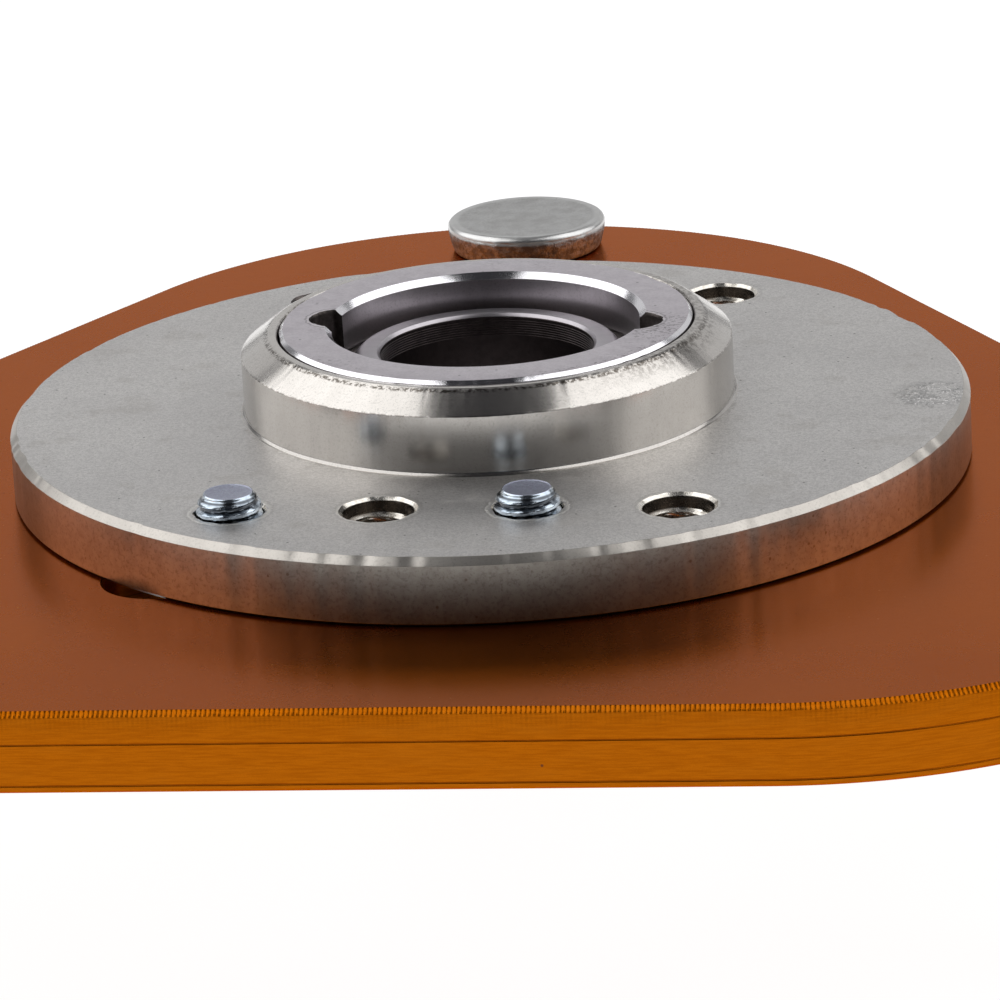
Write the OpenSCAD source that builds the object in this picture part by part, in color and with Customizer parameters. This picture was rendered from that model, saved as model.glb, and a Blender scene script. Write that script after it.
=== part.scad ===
// Adjustable camber plate: the upper mount of a coilover, with a spherical
// bearing in a sliding housing. The damper side faces up (+Z) and the studs
// for the strut tower point down. Origin: centre of the stud circle on the
// face that lies against the tower. The straight front edge runs along X.

/* [Camber plate] */
// Thickness of the plate
plate_t = 7.3; // [6:0.1:9]
// Radius of each of the three rounded corners
corner_r = 43.3; // [42:0.1:46]
// Distance from the plate's centre to the centre of each corner radius
corner_d = 37.9; // [36:0.1:42]
// Width of the broken edge around the plate
plate_chamfer = 0.45; // [0.2:0.05:1]
// Radius of the rounded ends of the central opening
opening_r = 20.5; // [20.3:0.1:22]
// Half the length between the centres of the opening's ends
opening_half = 18.5; // [18.3:0.1:20]

/* [Camber slots] */
// Width of the two slots
slot_w = 9.8; // [7:0.1:10]
// Half the length between the centres of a slot's ends
slot_half = 23.3; // [23.3:0.1:26]
// Distance of each slot from the housing's centre line
row_y = 31.7; // [31:0.1:33]
// How far the slots and the housing sit behind the plate's centre
row_shift = 2.0; // [0:0.1:3]

/* [Tower studs] */
// Diameter of the circle that the three studs stand on
stud_pcd = 146; // [144:1:148]
// Radius of the stud's thread (M8)
stud_r = 4.0; // [3:0.5:5]
// Length of the stud under its head
stud_l = 35; // [25:1:45]
// Radius of the stud's round head
stud_head_r = 8.45; // [7:0.05:9]
// Height of the stud's round head
stud_head_h = 3.3; // [2:0.1:4]
// Radius of the serrated shank pressed into the plate
stud_knurl_r = 4.4; // [4.2:0.1:5.5]

/* [Bearing housing] */
// Where the housing stands along the slots, from the plate's centre
camber_x = 3.5; // [-5:0.5:18]
// Radius of the round flange
flange_r = 45; // [42:0.5:46]
// Thickness of the flange
flange_t = 6.26; // [6:0.02:8]
// Chamfer on the flange's upper edge
flange_chamfer = 0.73; // [0.3:0.01:1]
// Radius of the raised hub
hub_r = 23.0; // [22.5:0.1:25]
// Height of the hub's upright wall above the flange's underside
hub_wall_h = 11.8; // [11:0.1:12.5]
// Height of the hub's rim above the flange's underside
hub_h = 13.7; // [13:0.1:13.9]
// Radius of the hub's rim
rim_r = 20.7; // [20.4:0.1:21.5]
// Radius of the boss that reaches down into the plate's opening
boss_r = 20.0; // [19.5:0.1:20.2]
// Depth of that boss below the flange
boss_d = 4.7; // [4:0.1:6]
// Distance between neighbouring tapped holes in a row
hole_pitch = 13.3; // [12:0.1:13.5]
// Radius of the tapped holes at the crest of the thread (M6)
tap_r = 2.55; // [2.4:0.05:2.7]

/* [Spherical bearing] */
// Bore radius of the ball
bore_r = 10; // [8:0.5:10]
// Radius of the ball's spherical surface
ball_r = 14.5; // [14.3:0.1:14.5]
// Width of the ball
ball_w = 16; // [14:0.5:16]
// Outer radius of the outer race
race_r = 17.5; // [17.2:0.1:18]
// Width of the outer race
race_w = 12; // [11:0.5:12]
// Thickness of the sliding liner
liner_t = 0.4; // [0.3:0.05:0.5]
// Running clearance on each side of the liner
liner_gap = 0.05; // [0.03:0.01:0.1]

/* [Retaining ring] */
// Outer radius of the threaded ring
ring_r = 19.45; // [19.2:0.05:19.45]
// Inner radius of the ring
ring_in_r = 14.4; // [14.0:0.1:15.0]
// Chamfer round the ring's bore
ring_chamfer = 0.6; // [0.3:0.1:0.8]
// Radius of the two notches for the pin spanner
notch_r = 2.7; // [2.2:0.1:3.0]
// Distance of the notches' centres from the axis
notch_d = 14.05; // [13.8:0.05:14.6]
// Height of the ring's upper face above the flange's underside
ring_top = 14.0; // [13.5:0.1:15]

/* [Camber screws] */
// Length of the front screws under the head (M6)
screw_l = 20; // [18:1:25]
// Length of the rear screws under the head (M6)
rear_screw_l = 18; // [16:1:25]
// Thickness of the heavy washers that bridge the slots
washer_t = 3.0; // [2:0.1:4]
// Radius of the heavy washers
washer_r = 8.5; // [7.5:0.1:9]
// Thickness of the spring lock washers
lock_t = 1.6; // [1.2:0.1:2]

/* [Hidden] */
$fn = 96;
// Distance from the plate's centre to each straight side: a hair inside the
// corner arcs' common tangent, so that arc and side meet in a clean edge
inradius = corner_d / 2 + corner_r - 0.02;
// Half the length of each straight side
side_half = corner_d * cos(30);
// Directions of the corners, which the studs share
corners = [90, 210, 330];
// Tapped holes along a row, from the housing's centre line
holes_x = [-1.5 * hole_pitch, -0.5 * hole_pitch, 0.5 * hole_pitch, 1.5 * hole_pitch];
// The two holes of each row that hold a screw
left_x = holes_x[0];
right_x = holes_x[2];
// Half widths and heights of the bearing; z is above the flange's underside
race_top = 9.3;
ball_z = race_top - race_w / 2;
// Screw sizes that follow from M6
screw_r = 3.0;
head_r = 5.0;
head_h = 6.0;

anodised = [0.62, 0.34, 0.18];
plated = [0.70, 0.69, 0.66];
hardened = [0.62, 0.60, 0.63];
zinc = [0.74, 0.76, 0.79];
dull_zinc = [0.58, 0.57, 0.55];
ptfe = [0.30, 0.25, 0.20];

// A round bar from z0 to z1
module bar(r, z0, z1) { translate([0, 0, z0]) cylinder(r = r, h = z1 - z0); }

// An oblong hole along X, with round ends
module oblong(r, half, z0, z1) {
    for (s = [-1, 1]) translate([s * half, 0, 0]) bar(r, z0, z1);
    translate([-half, -r, z0]) cube([2 * half, 2 * r, z1 - z0]);
}

// Places a child at the housing's centre, on the flange's underside
module at_housing() { translate([camber_x, row_shift, plate_t]) children(); }

// Places a child at a screw's axis; side is -1 for the front row, 1 for the rear
module at_screw(x, side) { translate([camber_x + x, row_shift + side * row_y, 0]) children(); }

// Cutter profile that breaks the plate's upper and lower edges, for an edge
// at distance r from the cutter's axis
module edge_break(r) {
    c = plate_chamfer;
    polygon([[r - c - 1, plate_t + 1], [r + 1, plate_t - c - 1], [r + 1, plate_t + 1]]);
    polygon([[r - c - 1, -1], [r + 1, -1], [r + 1, c + 1]]);
}

// The plate's blank: a triangle with three round corners and broken edges
module blank() {
    difference() {
        linear_extrude(plate_t) for (a = corners) {
            rotate(a) translate([corner_d, 0]) circle(r = corner_r);
            rotate(a + 180) translate([0, -side_half]) square([inradius, 2 * side_half]);
        }
        for (a = corners) {
            rotate([0, 0, a + 180]) translate([0, side_half + 8, 0]) rotate([90, 0, 0])
                linear_extrude(2 * side_half + 16) edge_break(inradius);
            rotate([0, 0, a]) translate([corner_d, 0, 0]) rotate([0, 0, -60])
                rotate_extrude(angle = 120) edge_break(corner_r);
        }
    }
}

module camber_plate() {
    color(anodised) difference() {
        blank();
        translate([0, row_shift, 0]) {
            oblong(opening_r, opening_half, -1, plate_t + 1);
            for (s = [-1, 1]) translate([0, s * row_y, 0])
                oblong(slot_w / 2, slot_half, -1, plate_t + 1);
        }
        for (a = corners) rotate([0, 0, a]) translate([stud_pcd / 2, 0, 0])
            bar(stud_knurl_r, -1, plate_t + 1);
    }
}

// Press-in stud: a round head on the damper side, a serrated shank in the
// plate and a threaded end towards the tower
module stud(a) {
    tip = plate_t - stud_l;
    color(dull_zinc) rotate([0, 0, a]) translate([stud_pcd / 2, 0, 0])
        rotate_extrude() polygon([
            [0, tip], [stud_r - 0.9, tip], [stud_r, tip + 0.9],
            [stud_r, 0], [stud_knurl_r, 0.8], [stud_knurl_r, plate_t],
            [stud_head_r - 0.6, plate_t], [stud_head_r, plate_t + 1.9],
            [stud_head_r, plate_t + stud_head_h - 0.9],
            [stud_head_r - 0.25, plate_t + stud_head_h - 0.35],
            [stud_head_r - 0.8, plate_t + stud_head_h], [0, plate_t + stud_head_h]]);
}
module stud_rear() { stud(corners[0]); }
module stud_front_left() { stud(corners[1]); }
module stud_front_right() { stud(corners[2]); }

// Turned flange and hub: the bearing seat opens upwards, the ring's thread
// lies above it, and a shoulder holds the race from below
module bearing_housing() {
    seat_floor = race_top - race_w;
    // opening under the race, which leaves a shoulder to rest on
    seat_r = race_r - 3.65;
    // countersink around each tapped hole: mouth, throat and their depths
    mouth_r = tap_r + 0.95;
    throat_r = tap_r + 0.7;
    mouth_d = 0.25;
    throat_d = 1.4;
    color(plated) at_housing() difference() {
        rotate_extrude() polygon([
            [seat_r, -boss_d], [boss_r - 0.5, -boss_d], [boss_r, -boss_d + 0.5],
            [boss_r, 0], [flange_r - 0.3, 0], [flange_r, 0.3],
            [flange_r, flange_t - flange_chamfer], [flange_r - flange_chamfer, flange_t],
            [hub_r + 0.25, flange_t], [hub_r, flange_t + 0.25],
            [hub_r, hub_wall_h], [rim_r, hub_h],
            [ring_r + 0.55, hub_h], [ring_r + 0.05, hub_h - 0.5],
            [ring_r + 0.05, race_top - 0.6], [race_r, race_top - 0.6],
            [race_r, seat_floor], [seat_r, seat_floor]]);
        for (s = [-1, 1]) for (x = holes_x) translate([x, s * row_y, 0]) {
            bar(tap_r, -1, flange_t + 1);
            translate([0, 0, flange_t]) rotate_extrude() polygon([
                [0, -throat_d], [tap_r, -throat_d], [throat_r, -mouth_d],
                [mouth_r, 0], [mouth_r + 0.5, 0.4], [0, 0.4]]);
        }
    }
}

// Threaded ring that holds the race down, with two notches for a pin spanner
module retaining_ring() {
    color(hardened) at_housing() difference() {
        rotate_extrude() polygon([
            [ring_in_r + 0.5, race_top], [ring_r - 0.3, race_top], [ring_r, race_top + 0.3],
            [ring_r, ring_top - 0.5], [ring_r - 0.45, ring_top],
            [ring_in_r + ring_chamfer, ring_top], [ring_in_r, ring_top - ring_chamfer],
            [ring_in_r, race_top + 0.5]]);
        for (a = [176.5, -6.9]) rotate([0, 0, a])
            translate([notch_d, 0, 0]) bar(notch_r, race_top - 1, ring_top + 1);
    }
}

module bearing_outer_race() {
    r = ball_r + liner_t + 2 * liner_gap;
    color(hardened) at_housing() translate([0, 0, ball_z]) difference() {
        rotate_extrude() polygon([
            [0, -race_w / 2], [race_r - 0.5, -race_w / 2], [race_r, -race_w / 2 + 0.5],
            [race_r, race_w / 2 - 0.5], [race_r - 0.5, race_w / 2], [0, race_w / 2]]);
        sphere(r = r);
    }
}

// Thin sliding liner between the race and the ball
module bearing_liner() {
    h = race_w / 2 - 0.2;
    color(ptfe) at_housing() translate([0, 0, ball_z]) difference() {
        intersection() {
            sphere(r = ball_r + liner_t + liner_gap);
            bar(race_r, -h, h);
        }
        sphere(r = ball_r + liner_gap);
    }
}

module bearing_ball() {
    // radius of the flat face, inside its small chamfer
    face = sqrt(ball_r * ball_r - ball_w * ball_w / 4) - 0.5;
    c = 0.35;
    color(hardened) at_housing() translate([0, 0, ball_z]) difference() {
        intersection() {
            sphere(r = ball_r);
            rotate_extrude() polygon([
                [0, -ball_w / 2], [face, -ball_w / 2], [face + 3, -ball_w / 2 + 3],
                [face + 3, ball_w / 2 - 3], [face, ball_w / 2], [0, ball_w / 2]]);
        }
        bar(bore_r, -ball_w, ball_w);
        for (s = [0, 180]) rotate([s, 0, 0]) translate([0, 0, ball_w / 2 - c])
            cylinder(r1 = bore_r, r2 = bore_r + 2 * c, h = 2 * c);
    }
}

// Socket head screw whose head is on the tower side
module camber_screw(x, side, length) {
    seat = -washer_t - lock_t;
    tip = seat + length;
    color(zinc) at_screw(x, side) difference() {
        rotate_extrude() polygon([
            [0, seat - head_h], [head_r - 0.6, seat - head_h], [head_r, seat - head_h + 0.6],
            [head_r, seat], [screw_r, seat], [screw_r, tip - 0.7],
            [screw_r - 0.7, tip], [0, tip]]);
        translate([0, 0, seat - head_h - 1]) cylinder(r = 2.5 / cos(30), h = 4, $fn = 6);
    }
}
module camber_screw_front_left() { camber_screw(left_x, -1, screw_l); }
module camber_screw_front_right() { camber_screw(right_x, -1, screw_l); }
module camber_screw_rear_left() { camber_screw(left_x, 1, rear_screw_l); }
module camber_screw_rear_right() { camber_screw(right_x, 1, rear_screw_l); }

// Split spring washer under each screw head
module lock_washer(x, side) {
    color(zinc) at_screw(x, side) difference() {
        bar(head_r - 0.05, -washer_t - lock_t, -washer_t);
        bar(screw_r + 0.05, -washer_t - lock_t - 1, 1);
        rotate([0, 0, 40]) translate([0, 0, -washer_t - lock_t / 2]) rotate([20, 0, 0])
            translate([0, -0.4, -lock_t * 2]) cube([8, 0.8, lock_t * 4]);
    }
}
module lock_washer_front_left() { lock_washer(left_x, -1); }
module lock_washer_front_right() { lock_washer(right_x, -1); }
module lock_washer_rear_left() { lock_washer(left_x, 1); }
module lock_washer_rear_right() { lock_washer(right_x, 1); }

// Heavy washer that spans the slot
module clamp_washer(x, side) {
    color(zinc) at_screw(x, side) rotate_extrude() polygon([
        [screw_r + 0.2, -washer_t], [washer_r - 0.6, -washer_t],
        [washer_r, -washer_t + 0.6], [washer_r, 0], [screw_r + 0.2, 0]]);
}
module clamp_washer_front_left() { clamp_washer(left_x, -1); }
module clamp_washer_front_right() { clamp_washer(right_x, -1); }
module clamp_washer_rear_left() { clamp_washer(left_x, 1); }
module clamp_washer_rear_right() { clamp_washer(right_x, 1); }

camber_plate();
stud_rear();
stud_front_left();
stud_front_right();
bearing_housing();
retaining_ring();
bearing_outer_race();
bearing_liner();
bearing_ball();
camber_screw_front_left();
camber_screw_front_right();
camber_screw_rear_left();
camber_screw_rear_right();
lock_washer_front_left();
lock_washer_front_right();
lock_washer_rear_left();
lock_washer_rear_right();
clamp_washer_front_left();
clamp_washer_front_right();
clamp_washer_rear_left();
clamp_washer_rear_right();
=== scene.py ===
import math

import bmesh
import bpy
import numpy as np
from mathutils import Matrix, Vector


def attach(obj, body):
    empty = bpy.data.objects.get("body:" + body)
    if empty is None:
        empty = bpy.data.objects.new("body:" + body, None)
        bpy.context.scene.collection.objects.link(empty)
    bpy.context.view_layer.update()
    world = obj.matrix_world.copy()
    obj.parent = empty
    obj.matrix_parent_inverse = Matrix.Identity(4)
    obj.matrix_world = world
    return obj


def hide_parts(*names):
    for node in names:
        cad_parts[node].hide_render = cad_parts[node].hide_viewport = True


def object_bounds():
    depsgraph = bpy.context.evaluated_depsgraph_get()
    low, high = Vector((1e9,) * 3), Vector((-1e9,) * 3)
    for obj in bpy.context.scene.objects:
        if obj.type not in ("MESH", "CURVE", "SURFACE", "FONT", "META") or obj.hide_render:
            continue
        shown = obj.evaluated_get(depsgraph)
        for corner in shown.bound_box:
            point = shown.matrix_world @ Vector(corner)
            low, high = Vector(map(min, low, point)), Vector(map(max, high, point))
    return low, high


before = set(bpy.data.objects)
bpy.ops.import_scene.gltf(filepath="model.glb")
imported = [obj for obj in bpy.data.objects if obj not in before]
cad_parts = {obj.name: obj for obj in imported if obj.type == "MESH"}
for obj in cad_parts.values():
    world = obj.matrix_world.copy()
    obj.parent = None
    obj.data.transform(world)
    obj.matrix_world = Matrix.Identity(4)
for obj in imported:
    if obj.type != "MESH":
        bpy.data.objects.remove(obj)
cad_low, cad_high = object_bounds()

MM = 0.001
TAU = 2 * math.pi

# ---------------------------------------------------------------- sizes, mm, row frame
PLATE_T = 7.3
CORNER_R = 43.28
CORNER_D = 37.9
STUD_R = 73.0
HX, HY = 3.5, 2.0            # bearing axis
ROW_Y = 31.7                 # hole rows, from the bearing axis
HOLES_X = (-19.95, -6.65, 6.65, 19.95)
BALL_Z = PLATE_T + 3.3


# ---------------------------------------------------------------- mesh helpers
def ring_noise(angle, cells, seed):
    """Smooth noise round a circle, from -1 to 1."""
    v = np.random.default_rng(seed).uniform(-1, 1, cells)
    t = (angle / TAU * cells) % cells
    i = np.floor(t).astype(int)
    f = t - i
    f = f * f * (3 - 2 * f)
    return v[i % cells] * (1 - f) + v[(i + 1) % cells] * f


def plane_noise(x, y, cell, seed):
    """Smooth noise over a plane, from -1 to 1."""
    v = np.random.default_rng(seed).uniform(-1, 1, (64, 64))
    u, w = np.asarray(x) / cell, np.asarray(y) / cell
    i, j = np.floor(u).astype(int), np.floor(w).astype(int)
    f, g = u - i, w - j
    f, g = f * f * (3 - 2 * f), g * g * (3 - 2 * g)
    a = v[i % 64, j % 64] * (1 - f) + v[(i + 1) % 64, j % 64] * f
    b = v[i % 64, (j + 1) % 64] * (1 - f) + v[(i + 1) % 64, (j + 1) % 64] * f
    return a * (1 - g) + b * g


def rounded(points, radius=0.1, steps=4, closed=True):
    """Profile points (r, z) or (r, z, corner radius) with the corners rounded.
    Returns the points and, for each, the number of the given point it comes from."""
    pts = [np.array(p[:2], float) for p in points]
    rad = [p[2] if len(p) > 2 else radius for p in points]
    out, tag = [], []
    n = len(pts)
    for k in range(n):
        if not closed and k in (0, n - 1) or rad[k] <= 0:
            out.append(pts[k])
            tag.append(k)
            continue
        p, a, b = pts[k], pts[k - 1], pts[(k + 1) % n]
        u, v = a - p, b - p
        lu, lv = np.linalg.norm(u), np.linalg.norm(v)
        u, v = u / lu, v / lv
        half = math.acos(max(-1, min(1, float(u @ v)))) / 2
        d = min(rad[k] / max(math.tan(half), 1e-6), 0.45 * lu, 0.45 * lv)
        for t in np.linspace(0, 1, steps + 1):
            out.append((1 - t) ** 2 * (p + u * d) + 2 * t * (1 - t) * p + t * t * (p + v * d))
            tag.append(k)
    return np.array(out), np.array(tag)


def skin(name, P, torus=False, caps="pole", mats=None, cap_mats=(0, 0), at=(0, 0, 0), sharp=32, uneven=None):
    """A closed mesh over rows of points, P[row, column], in mm about the point at."""
    rows, n = P.shape[:2]
    verts = P.reshape(-1, 3)
    j = np.arange(n)
    jn = (j + 1) % n
    quads, index = [], []
    for i in range(rows if torus else rows - 1):
        a, b = i * n, ((i + 1) % rows) * n
        quads.append(np.stack([a + j, a + jn, b + jn, b + j], 1))
        index.append(np.full(n, 0 if mats is None else mats[i]))
    faces = np.concatenate(quads).tolist()
    index = np.concatenate(index).tolist()
    if not torus and caps == "pole":
        first, last = len(verts), len(verts) + 1
        verts = np.vstack([verts, P[0].mean(0), P[-1].mean(0)])
        base = (rows - 1) * n
        faces += [[first, int(q), int(p)] for p, q in zip(j, jn)]
        faces += [[last, int(base + p), int(base + q)] for p, q in zip(j, jn)]
        index += [cap_mats[0]] * n + [cap_mats[1]] * n
    elif not torus:
        base = (rows - 1) * n
        faces += [j[::-1].tolist(), (base + j).tolist()]
        index += list(cap_mats)
    me = bpy.data.meshes.new(name)
    me.from_pydata((verts * MM).tolist(), [], faces)
    me.polygons.foreach_set("material_index", index)
    bm = bmesh.new()
    bm.from_mesh(me)
    bmesh.ops.recalc_face_normals(bm, faces=bm.faces)
    bm.to_mesh(me)
    bm.free()
    ob = bpy.data.objects.new(name, me)
    bpy.context.scene.collection.objects.link(ob)
    ob.location = Vector(at) * MM
    finish_mesh(ob, sharp)
    return ob


def finish_mesh(ob, sharp=32):
    me = ob.data
    me.shade_smooth()
    me.set_sharp_from_angle(angle=math.radians(sharp))
    me.update()


def polar(name, rings, n=256, **more):
    """rings are (r, z), each a number or an array over the angle."""
    a = np.arange(n) / n * TAU
    P = np.zeros((len(rings), n, 3))
    for i, (r, z) in enumerate(rings):
        P[i, :, 0] = r * np.cos(a)
        P[i, :, 1] = r * np.sin(a)
        P[i, :, 2] = z
    return skin(name, P, **more)


def cut(ob, cutters, sharp=32):
    """ob minus the cutters, which are used up. Faces keep their material numbers."""
    bpy.context.view_layer.update()
    meshes = []
    bm = bmesh.new()
    for c in cutters:
        me = c.data.copy()
        me.transform(c.matrix_world)
        bm.from_mesh(me)
        meshes.append(me)
    joined = bpy.data.meshes.new("cutter")
    bm.to_mesh(joined)
    bm.free()
    tool = bpy.data.objects.new("cutter", joined)
    bpy.context.scene.collection.objects.link(tool)
    for m in ob.data.materials:
        joined.materials.append(m)
    mod = ob.modifiers.new("cut", "BOOLEAN")
    mod.operation = "DIFFERENCE"
    mod.solver = "MANIFOLD"
    mod.object = tool
    bpy.context.view_layer.update()
    dg = bpy.context.evaluated_depsgraph_get()
    me = bpy.data.meshes.new_from_object(ob.evaluated_get(dg), depsgraph=dg)
    if len(me.polygons) <= 10 or len(me.polygons) == len(ob.data.polygons):
        mod.solver = "EXACT"
        bpy.context.view_layer.update()
        dg = bpy.context.evaluated_depsgraph_get()
        me = bpy.data.meshes.new_from_object(ob.evaluated_get(dg), depsgraph=dg)
    ob.modifiers.clear()
    ob.data = me
    for c in list(cutters) + [tool]:
        data = c.data
        bpy.data.objects.remove(c)
        bpy.data.meshes.remove(data)
    for me in meshes:
        bpy.data.meshes.remove(me)
    bm = bmesh.new()
    bm.from_mesh(ob.data)
    bmesh.ops.remove_doubles(bm, verts=bm.verts, dist=1e-7)
    bmesh.ops.dissolve_degenerate(bm, dist=1e-8, edges=bm.edges)
    bm.to_mesh(ob.data)
    bm.free()
    finish_mesh(ob, sharp)
    return ob


def thread(phase, minor, major):
    """Radius of a rounded thread; phase is in turns, with a crest at whole numbers."""
    f = 0.5 + 0.5 * np.cos(TAU * phase)
    f = np.clip(f * 1.35 - 0.12, 0, 1)
    return minor + (major - minor) * f * f * (3 - 2 * f)


# ---------------------------------------------------------------- node helper
class Tree:
    def __init__(self, tree):
        self.t = tree
        tree.nodes.clear()

    def node(self, kind, inputs=None, **props):
        n = self.t.nodes.new(kind)
        for k, v in props.items():
            setattr(n, k, v)
        for k, v in (inputs or {}).items():
            self.put(n.inputs[k], v)
        return n

    def put(self, socket, v):
        if isinstance(v, bpy.types.NodeSocket):
            self.t.links.new(v, socket)
        elif v is not None:
            socket.default_value = v

    def math(self, op, a, b=None, c=None, clamp=False):
        n = self.node("ShaderNodeMath", operation=op, use_clamp=clamp)
        for s, v in zip(n.inputs, (a, b, c)):
            self.put(s, v)
        return n.outputs[0]

    def add(self, a, b):
        return self.math("ADD", a, b)

    def mul(self, a, b):
        return self.math("MULTIPLY", a, b)

    def sub(self, a, b):
        return self.math("SUBTRACT", a, b)

    def vec(self, op, a, b=None):
        n = self.node("ShaderNodeVectorMath", operation=op)
        self.put(n.inputs[0], a)
        if op == "SCALE":
            self.put(n.inputs["Scale"], b)
        elif b is not None:
            self.put(n.inputs[1], b)
        return n.outputs["Value"] if op in ("LENGTH", "DOT_PRODUCT", "DISTANCE") else n.outputs["Vector"]

    def split(self, v):
        n = self.node("ShaderNodeSeparateXYZ", {"Vector": v})
        return n.outputs

    def join(self, x, y, z):
        return self.node("ShaderNodeCombineXYZ", {"X": x, "Y": y, "Z": z}).outputs[0]

    def noise(self, v, scale, detail=2.0, rough=0.5, distortion=0.0):
        n = self.node("ShaderNodeTexNoise", {"Vector": v, "Scale": scale, "Detail": detail, "Roughness": rough, "Distortion": distortion})
        return n.outputs["Fac"]

    def cells(self, v, scale, feature="F1", randomness=1.0):
        n = self.node("ShaderNodeTexVoronoi", {"Vector": v, "Scale": scale, "Randomness": randomness}, feature=feature)
        return n.outputs["Distance"]

    def ramp(self, fac, *stops):
        """stops are (place, value or colour)."""
        n = self.node("ShaderNodeValToRGB", {"Fac": fac})
        e = n.color_ramp.elements
        while len(e) < len(stops):
            e.new(0.5)
        for el, (p, c) in zip(e, stops):
            el.position = p
            el.color = (c, c, c, 1) if isinstance(c, (int, float)) else (*c, 1)
        return n.outputs["Color"]

    def step(self, v, lo, hi):
        """0 below lo, 1 above hi, smooth between; hi may be below lo."""
        n = self.node("ShaderNodeMapRange", interpolation_type="SMOOTHSTEP")
        a, b = (lo, hi) if hi > lo else (hi, lo)
        for k, x in (("Value", v), ("From Min", a), ("From Max", b), ("To Min", 0.0 if hi > lo else 1.0), ("To Max", 1.0 if hi > lo else 0.0)):
            self.put(n.inputs[k], x)
        return n.outputs["Result"]

    def band(self, v, a, b, soft):
        return self.mul(self.step(v, a - soft, a + soft), self.step(v, b + soft, b - soft))

    def mix(self, fac, a, b, mode="MIX"):
        n = self.node("ShaderNodeMix", data_type="RGBA", blend_type=mode, clamp_result=False)
        self.put(n.inputs[0], fac)
        for s, v in ((n.inputs[6], a), (n.inputs[7], b)):
            if isinstance(v, tuple) and len(v) == 3:
                v = (*v, 1)
            self.put(s, v)
        return n.outputs[2]

    def bump(self, height, distance, strength=1.0, normal=None):
        n = self.node("ShaderNodeBump", {"Height": height, "Distance": distance, "Strength": strength})
        if normal is not None:
            self.put(n.inputs["Normal"], normal)
        return n.outputs[0]


def material(name):
    mat = bpy.data.materials.new(name)
    mat.use_nodes = True
    return mat, Tree(mat.node_tree)


def metal(t, color, rough, normal=None, metallic=1.0, aniso=0.0, turn=0.0, tangent=None, coat=0.0, coat_rough=0.1, tint=None):
    n = t.node("ShaderNodeBsdfPrincipled")
    t.put(n.inputs["Base Color"], (*color, 1) if isinstance(color, tuple) else color)
    t.put(n.inputs["Metallic"], metallic)
    t.put(n.inputs["Roughness"], rough)
    n.inputs["Anisotropic"].default_value = aniso
    n.inputs["Anisotropic Rotation"].default_value = turn
    n.inputs["Coat Weight"].default_value = coat
    n.inputs["Coat Roughness"].default_value = coat_rough
    if tint:
        n.inputs["Specular Tint"].default_value = (*tint, 1)
    if normal is not None:
        t.put(n.inputs["Normal"], normal)
    if tangent is not None:
        t.put(n.inputs["Tangent"], tangent)
    out = t.node("ShaderNodeOutputMaterial", {"Surface": n.outputs[0]})
    return n


def coords(t):
    """Object coordinates in mm, and the radius and angle round the object's own axis."""
    v = t.vec("SCALE", t.node("ShaderNodeTexCoord").outputs["Object"], 1000.0)
    s = t.split(v)
    x, y, z = s[0], s[1], s[2]
    r = t.math("SQRT", t.add(t.mul(x, x), t.mul(y, y)))
    a = t.math("ARCTAN2", y, x)
    return v, x, y, z, r, a


# ---------------------------------------------------------------- materials
def mat_plate_top():
    m, t = material("anodised_face")
    v, x, y, z, r, a = coords(t)
    large = t.noise(v, 0.035, 3, 0.55)
    mid = t.noise(v, 0.9, 4, 0.6)
    fine = t.noise(v, 9.0, 2, 0.6)
    col = t.mix(t.step(large, 0.35, 0.7), (0.37, 0.105, 0.014), (0.43, 0.125, 0.018))
    col = t.mix(t.mul(t.step(fine, 0.3, 0.75), 0.35), col, (0.30, 0.080, 0.010))
    dust = t.mul(t.step(t.cells(v, 0.55), 0.06, 0.03), t.step(t.noise(v, 0.11, 2), 0.52, 0.6))
    col = t.mix(t.mul(dust, 0.35), col, (0.75, 0.50, 0.30))
    pit = t.mul(t.step(t.cells(t.vec("ADD", v, (7.0, 3.0, 0.0)), 0.33), 0.045, 0.025), 0.6)
    col = t.mix(pit, col, (0.10, 0.03, 0.006))
    rough = t.add(t.add(0.235, t.mul(mid, 0.06)), t.mul(t.step(large, 0.4, 0.7), 0.04))
    n = t.bump(t.noise(v, 14.0, 2, 0.6), 0.00001, 0.55)
    n = t.bump(t.noise(v, 1.4, 3, 0.5), 0.00002, 0.25, n)
    metal(t, col, rough, n, coat=0.28, coat_rough=0.18, tint=(1.0, 0.50, 0.16))
    return m


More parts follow.
